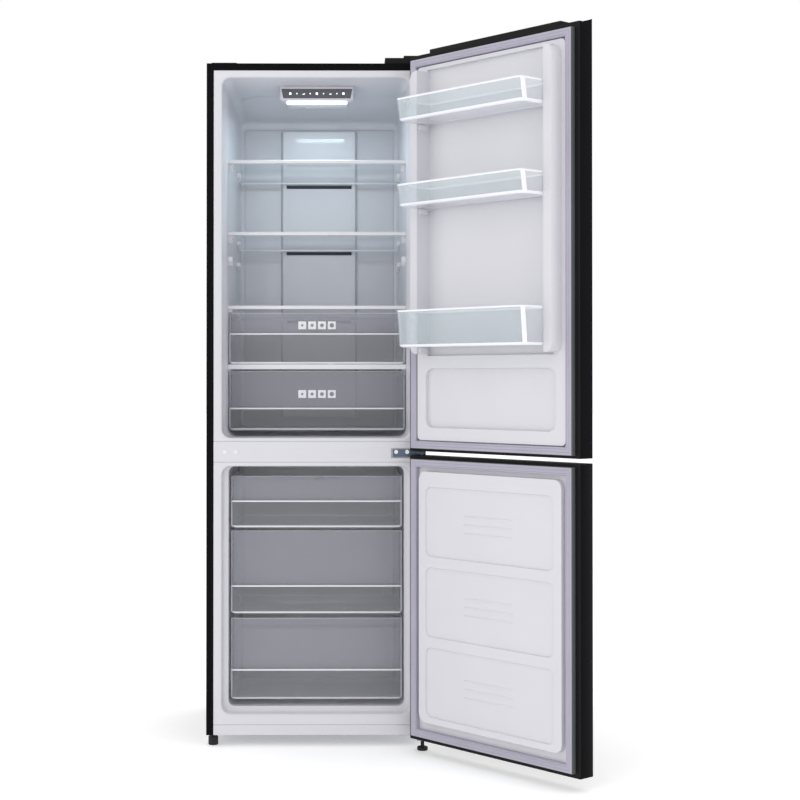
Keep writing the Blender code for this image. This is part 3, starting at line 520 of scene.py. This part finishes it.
def shelf_lugs():
    """Shield-shaped supports, in front and rear pairs, moulded onto the fridge's walls."""
    bm = bmesh.new()
    tops = [local_box(f"shelf_glass_{number}", CABINET)[0].z - 0.0004 for number in (1, 2, 3)]
    tops += [(tops[1] + tops[2]) / 2 + 0.040, local_box("crisper_cover", CABINET)[0].z - 0.0004]
    outline = ((0, 0), (1, 0), (1, -0.45), (0.5, -1), (0, -0.45))
    height = 0.026
    for top in tops:
        for start, length, width in ((0.140, 0.026, 0.011), (0.376, 0.026, 0.010)):
            for side in (-1, 1):
                wall = wall_half(start + length / 2, FRIDGE_BACK)
                inner = [bm.verts.new((side * (wall - 0.0025 - width), start + along * length,
                                       top + down * height)) for along, down in outline]
                outer = [bm.verts.new((side * wall, start + along * length,
                                       top + down * height)) for along, down in outline]
                bm.faces.new(inner)
                bm.faces.new(outer)
                loft_sides(bm, inner, outer)
    item = piece("shelf_lugs", bm, CABINET, "cabinet", [TRIM_WHITE], "white_liner")
    soften(item, 0.0022)


def rail_and_plinth():
    refined("centre_rail", 0.0012, RAIL_WHITE)
    refined("kick_plate", 0.0012, RAIL_WHITE)
    bm = bmesh.new()
    for x in PLUG_PLACES:
        add_disc(bm, (x, -0.0004, PLUG_HEIGHT), 0.0068, 0.0024, "Y", width=0.0009)
    piece("rail_plugs", bm, CABINET, "cabinet", [TRIM_WHITE], "white_trim")


def hinges():
    for node, width, material in (("top_hinge_bracket", 0.0006, GALVANISED),
                                  ("top_hinge_cover", 0.0016, BLACK_PLASTIC),
                                  ("top_blank_cover", 0.0010, BLACK_PLASTIC),
                                  ("centre_hinge_bracket", 0.0005, HINGE_STEEL),
                                  ("bottom_hinge_bracket", 0.0006, GALVANISED),
                                  ("hinge_screw_1", 0.0003, CHROME),
                                  ("hinge_screw_2", 0.0003, CHROME)):
        refined(node, width, material)


def control_panel():
    """A pale housing, a dark fascia with plain lit marks, and a lamp strip under its front."""
    refined("control_panel", 0.0012, PANEL_GREY)
    low, high = local_box("control_panel", CABINET)
    fascia = bmesh.new()
    top, bottom = high.z - 0.0085, low.z + 0.0060
    outline = ((-0.0985, top), (0.0985, top), (0.0935, bottom), (-0.0935, bottom))
    front = [fascia.verts.new((x, low.y - 0.0008, z)) for x, z in outline]
    rear = [fascia.verts.new((x, low.y + 0.0004, z)) for x, z in outline]
    fascia.faces.new(front)
    fascia.faces.new(rear)
    loft_sides(fascia, front, rear)
    item = piece("control_fascia", fascia, CABINET, "cabinet", [FASCIA_GREY], "grey_plastic")
    soften(item, 0.0003, 2)
    marks = bmesh.new()
    level = (top + bottom) / 2
    for number in range(9):
        x = (number - 4) * 0.0185
        if number % 4 == 0:
            add_block(marks, (x - 0.0028, low.y - 0.0012, level - 0.0028),
                      (x + 0.0028, low.y - 0.0006, level + 0.0028), 0.0004)
        elif number % 2:
            add_disc(marks, (x, low.y - 0.0009, level), 0.0017, 0.0006, "Y", sides=16)
        else:
            for step in (-1, 0, 1):
                add_block(marks, (x + step * 0.0024 - 0.0007, low.y - 0.0012, level - 0.0028),
                          (x + step * 0.0024 + 0.0007, low.y - 0.0006, level + step * 0.0010))
    piece("control_marks", marks, CABINET, "cabinet", [INDICATOR], "lamp_lens")
    lens_low, lens_high = local_box("lamp_lens", CABINET)
    lit_end = lens_low.y + 0.009
    lens = bmesh.new()
    add_block(lens, lens_low, (lens_high.x, lit_end, lens_high.z), 0.0010, 2, 0)
    add_block(lens, (lens_low.x, lit_end, lens_low.z), lens_high, 0.0010, 2, 1)
    piece("lamp_strip", lens, CABINET, "cabinet", [LAMP, TRIM_WHITE], SLOT_OF["lamp_lens"],
          ("lamp_lens",))


def back_of_fridge():
    refined("air_duct_panel", 0.0020, LINER_WHITE, 3)
    for node, width, material in (("freezer_air_cover", 0.0008, LINER_WHITE),
                                  ("evaporator", 0.0004, FIN_METAL),
                                  ("fan_motor", 0.0008, GREY_PLASTIC),
                                  ("evaporator_fan", 0.0003, GREY_PLASTIC),
                                  ("back_panel", 0.0004, GALVANISED),
                                  ("base_tray", 0.0004, GALVANISED),
                                  ("bay_lining", 0.0004, GALVANISED),
                                  ("compressor", 0.0010, COMPRESSOR_BLACK),
                                  ("evaporation_tray", 0.0008, GREY_PLASTIC),
                                  ("terminal_box", 0.0010, BLACK_PLASTIC),
                                  ("foam_insulation", 0.0005, FOAM),
                                  ("front_foot_left", 0.0004, FOOT_BLACK),
                                  ("front_foot_right", 0.0004, FOOT_BLACK),
                                  ("rear_roller_left", 0.0008, GREY_PLASTIC),
                                  ("rear_roller_right", 0.0008, GREY_PLASTIC)):
        refined(node, width, material)
    shade = bmesh.new()
    depth = local_box("air_duct_panel", CABINET)[0].y + 0.0092
    for level in DUCT_SLOTS:
        add_block(shade, (-DUCT_SLOT_HALF + 0.001, depth, level - 0.0045),
                  (DUCT_SLOT_HALF - 0.001, depth + 0.0005, level + 0.0045))
    piece("duct_shade", shade, CABINET, "cabinet", [SHADOW_GREY], "grey_plastic")


def machine_bay():
    """Copper pipes off the compressor, and the screws and wall spacers of the back panel."""
    low, high = local_box("compressor", CABINET)
    lining = local_box("bay_lining", CABINET)[1]
    pipes = bmesh.new()
    middle = (low.x + high.x) / 2
    for x, y, reach in ((low.x + 0.030, high.y - 0.030, -0.080),
                        (middle + 0.030, high.y - 0.040, -0.200)):
        start = (x, y, high.z - 0.030)
        corner = (x, y, lining.z - 0.012)
        end = (x + reach, y, lining.z - 0.012)
        add_tube(pipes, bend(start, corner, end, 0.010), 0.0030)
    piece("compressor_pipes", pipes, CABINET, "cabinet", [COPPER], "galvanised_steel")
    panel_low, panel_high = local_box("back_panel", CABINET)
    screws = bmesh.new()
    for number in range(SCREW_ROWS):
        share = number / (SCREW_ROWS - 1)
        z = panel_low.z + 0.020 + (panel_high.z - panel_low.z - 0.040) * share
        for side in (-1, 1):
            add_disc(screws, (side * (panel_high.x - SCREW_INSET), panel_high.y + 0.0005, z), 0.0045,
                     0.0022, "Y", width=0.0007)
    piece("back_screws", screws, CABINET, "cabinet", [CHROME], "screw_chrome")
    spacers = bmesh.new()
    for side in (-1, 1):
        add_block(spacers, (side * SPACER_X - 0.016, panel_high.y - 0.0004, SPACER_HEIGHTS[0]),
                  (side * SPACER_X + 0.016, panel_high.y + 0.0080, SPACER_HEIGHTS[1]), 0.0025, 3)
    piece("back_spacers", spacers, CABINET, "cabinet", [BLACK_PLASTIC], "black_plastic")


# Shelves and drawers

def shelves():
    for number in (1, 2, 3):
        refined(f"shelf_glass_{number}", 0.0005, GLASS)
        refined(f"shelf_trim_{number}", 0.0022, TRIM_WHITE, 3)
        low, high = local_box(f"shelf_glass_{number}", CABINET)
        rear = bmesh.new()
        add_block(rear, (low.x + 0.004, high.y - 0.0045, high.z - 0.0300),
                  (high.x - 0.004, high.y - 0.0005, high.z - 0.0245), 0.0012)
        add_block(rear, (low.x + 0.004, high.y - 0.0030, high.z - 0.0245),
                  (high.x - 0.004, high.y - 0.0015, low.z), 0.0, material=1)
        piece(f"shelf_rear_{number}", rear, CABINET, BODY_OF[f"shelf_glass_{number}"],
              [TRIM_WHITE, CLEAR_PLASTIC], "white_trim")
    refined("crisper_cover", 0.0005, GLASS)
    refined("crisper_cover_trim", 0.0030, TRIM_WHITE, 3)
    refined("humidity_slider", 0.0010, TRIM_WHITE)


def vessel(name, node, place, levels, material_of, slot):
    """An open-topped moulding skinned through its plan at each level, floor first."""
    bm = bmesh.new()
    rows, faces = loft(bm, [plan_ring(*level) for level in levels])
    floor = bm.faces.new(rows[0])
    for face in faces + [floor]:
        face.normal_update()
        face.material_index = material_of(face)
    item = piece(name, bm, place, BODY_OF[node],
                 [CLEAR_PLASTIC, FROSTED_PLASTIC, PLATE_AND_HIGHLIGHT_PLASTIC, BIN_PLASTIC], slot, (node,),
                 sharp=40.0)
    return item


def drawer(node, grip):
    low, high = local_box(node, CABINET)
    swell = FRONT_SWELL
    front = low.y + swell
    half_front = high.x
    half_back = half_front - 0.011
    floor = low.z + (0.0158 if node == "crisper_drawer" else 0.0)
    fillet = 0.009
    levels = []
    for step in range(5):
        angle = math.pi / 2 * step / 4
        inset = fillet * (1 - math.sin(angle))
        levels.append((floor + fillet * (1 - math.cos(angle)), half_front - inset,
                       half_back - inset, front - swell + inset, high.y - inset, 0.010))
    for level, out in ((grip - 0.004, swell), (grip - 0.001, swell - 0.0008), (grip, swell - 0.003),
                       (grip + 0.0006, 0.0), (high.z - 0.0006, 0.0), (high.z, 0.0)):
        levels.append((level, half_front, half_back, front - out, high.y, 0.010))

    # The top edge, front corners, grip band and front floor bend take the bright plastic: painted highlight where
    # the clear moulding catches light.
    def material_of(face):
        middle = face.calc_center_median()
        is_front = middle.y < front + 0.012
        if middle.z > high.z - 0.0008:
            return 2
        if is_front and abs(middle.x) > half_front - 0.0045 and middle.z < high.z - 0.001:
            return 2
        if is_front and middle.z > grip:
            return 1
        if is_front and grip - 0.004 < middle.z < grip + 0.001:
            return 2
        if middle.z < floor + fillet * 0.8 and is_front:
            return 2
        return 0

    item = vessel(node + "_moulding", node, CABINET, levels, material_of, "clear_plastic")
    thicken(item, 0.0022)


def drawer_marks(node, level):
    """Four plates in a row on a drawer's front, each with a plain dot."""
    face = local_box(node, CABINET)[0].y + FRONT_SWELL
    plates = bmesh.new()
    for number in range(MARK_COUNT):
        x = (number - (MARK_COUNT - 1) / 2) * MARK_PITCH
        add_block(plates, (x - MARK_HALF, face - 0.0006, level - MARK_HALF),
                  (x + MARK_HALF, face - 0.0001, level + MARK_HALF), 0.0002)
        add_disc(plates, (x, face - 0.0008, level), 0.0035 + 0.0009 * number, 0.0006, "Y",
                 sides=20, material=1)
    piece(node + "_marks", plates, CABINET, BODY_OF[node], [PLATE_AND_HIGHLIGHT_PLASTIC, GREY_PLASTIC],
          "clear_plastic")


def drawers():
    for node, grip in DRAWER_GRIPS.items():
        drawer(node, grip)
    for node, level in MARK_LEVELS.items():
        drawer_marks(node, level)


# Doors

def gasket(door):
    """A soft grooved ribbon with a dark outer side, and the black edge that it sits inside."""
    node = door + "_gasket"
    low, high = local_box(node, DOOR)
    middle = (low.x + high.x) / 2
    half = (high.x - low.x) / 2
    place = DOOR @ Matrix.Translation((middle, 0, 0))
    base, face = low.y, high.y
    profile = ((0.0, base), (0.0, face - 0.0040), (0.0015, face - 0.0008), (0.0030, face),
               (0.0075, face), (0.0083, face - 0.0009), (0.0091, face), (0.0150, face),
               (0.0158, face - 0.0009), (0.0166, face), (GASKET_WIDTH - 0.0020, face),
               (GASKET_WIDTH, face - 0.0030), (GASKET_WIDTH, base), (0.0, base))
    bm = bmesh.new()
    _, faces = loft(bm, [rounded_ring(half - inset, low.z + inset, high.z - inset, depth, 0.0010, 1)
                         for inset, depth in profile])
    per_ring = len(faces) // (len(profile) - 1)
    for face_made in faces[:2 * per_ring]:
        face_made.material_index = 1
    piece(node + "_lips", bm, place, BODY_OF[node], [GASKET_SOFT, GASKET_SIDE], SLOT_OF[node],
          (node,), sharp=25.0)
    skin_low, skin_high = local_box(door + "_skin", DOOR)
    edge_half = (skin_high.x - skin_low.x) / 2 - 0.0004
    bottom = skin_low.z + 0.0004
    top = skin_low.z + DOOR_HEIGHTS[door] - 0.0004
    edge = bmesh.new()
    inner = (half - 0.0010, low.z + 0.0010, high.z - 0.0010)
    outer = (edge_half, bottom, top)
    rings = [rounded_ring(*inner, base, 0.0010, 1), rounded_ring(*inner, base + 0.0012, 0.0010, 1),
             rounded_ring(*outer, base + 0.0012, 0.0010, 1),
             rounded_ring(*outer, skin_high.y + 0.0001, 0.0010, 1),
             rounded_ring(*inner, base, 0.0010, 1)]
    loft(edge, rings)
    piece(door + "_edge", edge, place, BODY_OF[node], [BLACK_PLASTIC], "black_plastic")


def door_shells():
    for door in DOOR_HEIGHTS:
        refined(door + "_skin", 0.0008, BLACK_STEEL)
        refined(door + "_cap_top", 0.0008, BLACK_PLASTIC)
        refined(door + "_cap_bottom", 0.0008, BLACK_PLASTIC)
        refined(door + "_core", 0.0005, FOAM)
        gasket(door)
    refined("fridge_door_liner", 0.0035, LINER_WHITE, 3)
    refined("freezer_door_liner", 0.0018, LINER_WHITE, 3)


def freezer_door_ribs():
    """Short faint ribs across the middle of each field of the freezer door."""
    low, high = local_box("freezer_door_gasket", DOOR)
    middle = (low.x + high.x) / 2
    face = local_box("freezer_door_liner", DOOR)[1].y - FIELD_DEPTH
    bm = bmesh.new()
    for field in range(3):
        centre = FIELD_MIDDLE - field * FIELD_PITCH
        for step in (-1, 0, 1):
            z = centre + step * RIB_PITCH
            add_block(bm, (middle - RIB_HALF, face - 0.0005, z - 0.0016),
                      (middle + RIB_HALF, face + 0.0009, z + 0.0016), 0.0006)
    piece("freezer_door_ribs", bm, DOOR, "freezer_door", [LINER_WHITE], "white_liner")


def door_bin(node):
    """A clear tray with a frosted front, and painted highlight: a bright rim and a bright line round its floor."""
    low, high = local_box(node, DOOR)
    place = DOOR @ Matrix.Translation(((low.x + high.x) / 2, 0, 0))
    half = (high.x - low.x) / 2
    slope = 0.008
    fillet = 0.007
    levels = []
    for step in range(5):
        angle = math.pi / 2 * step / 4
        inset = fillet * (1 - math.sin(angle))
        levels.append((low.z + fillet * (1 - math.cos(angle)), half - inset, half - inset,
                       low.y + inset, high.y - slope - inset, 0.016))
    for level, lean in ((high.z - 0.0045, 0.0006), (high.z - 0.0008, 0.0), (high.z, 0.0)):
        levels.append((level, half, half, low.y, high.y - lean, 0.016))

    # The rim, the floor bend and the front corners take the bright plastic: painted highlight where the clear
    # moulding catches light.
    def material_of(face):
        middle = face.calc_center_median()
        if middle.z > high.z - 0.0046 or low.z + 0.0002 < middle.z < low.z + fillet * 0.9:
            return 2
        if middle.y > high.y - slope - 0.014 and abs(middle.x) > half - 0.0045:
            return 2
        if middle.y > high.y - slope - 0.014:
            return 3
        return 0

    item = vessel(node + "_moulding", node, place, levels, material_of, SLOT_OF[node])
    thicken(item, 0.0024)


def bins():
    for name in ("top", "middle", "bottom"):
        door_bin("door_bin_" + name)


# Stage

def studio():
    """A wide pale floor, with nothing standing round the object."""
    bm = bmesh.new()
    bmesh.ops.create_circle(bm, cap_ends=True, segments=96, radius=40.0)
    mesh = bpy.data.meshes.new("studio_floor")
    bm.to_mesh(mesh)
    bm.free()
    floor = bpy.data.objects.new("studio_floor", mesh)
    paper = surface("floor_paper", (0.93, 0.93, 0.93), 0.9, 60.0, 0.0002, 0.005)
    shader = paper.node_tree.nodes["Principled BSDF"]
    shader.inputs["Emission Color"].default_value = (1.0, 1.0, 1.0, 1.0)
    shader.inputs["Emission Strength"].default_value = 0.25
    mesh.materials.append(paper)
    bpy.context.scene.collection.objects.link(floor)


def panel_light(name, place, target, size, power, color=(1.0, 1.0, 1.0)):
    data = bpy.data.lights.new(name, "AREA")
    data.shape = "RECTANGLE"
    data.size = size[0]
    data.size_y = size[1]
    data.energy = power
    data.color = color
    light = bpy.data.objects.new(name, data)
    light.location = place
    light.rotation_euler = (Vector(target) - Vector(place)).to_track_quat("-Z", "Y").to_euler()
    bpy.context.scene.collection.objects.link(light)


def lights():
    world = bpy.data.worlds.new("studio_world")
    world.use_nodes = True
    world.node_tree.nodes["Background"].inputs["Color"].default_value = (1.0, 1.0, 1.0, 1.0)
    world.node_tree.nodes["Background"].inputs["Strength"].default_value = 1.0
    bpy.context.scene.world = world
    middle = (0.0, 0.0, 0.95)
    panel_light("key", (-1.9, -3.6, 2.9), middle, (2.2, 2.2), 14.0)
    panel_light("fill", (1.6, -4.2, 1.4), middle, (2.0, 2.6), 6.0)
    panel_light("top", (0.0, 0.2, 3.9), middle, (3.0, 2.0), 8.0)
    panel_light("behind", (0.0, 2.6, 2.6), middle, (3.0, 1.6), 8.0)
    panel_light("ceiling_lamp", CABINET @ Vector((0.0, 0.150, 1.752)),
                CABINET @ Vector((0.0, 0.200, 1.200)), (0.150, 0.050), 0.95, (0.72, 0.93, 1.0))


def camera():
    """Level with the fridge's floor and a little to the right of the cabinet."""
    data = bpy.data.cameras.new("camera")
    data.lens = CAMERA_LENS
    data.sensor_width = 36.0
    data.shift_x, data.shift_y = CAMERA_SHIFT
    view = bpy.data.objects.new("camera", data)
    view.location = CABINET @ Vector(CAMERA_PLACE)
    view.rotation_euler = (math.radians(CAMERA_TILT), 0.0, math.radians(CAMERA_TURN))
    bpy.context.scene.collection.objects.link(view)
    bpy.context.scene.camera = view
    bpy.context.scene.view_settings.view_transform = "Standard"


for make in (camera, studio, lights, cabinet_shell, fridge_liner, freezer_liner, shelf_lugs,
             rail_and_plinth, hinges, control_panel, back_of_fridge, machine_bay, shelves,
             drawers, door_shells, freezer_door_ribs, bins):
    make()
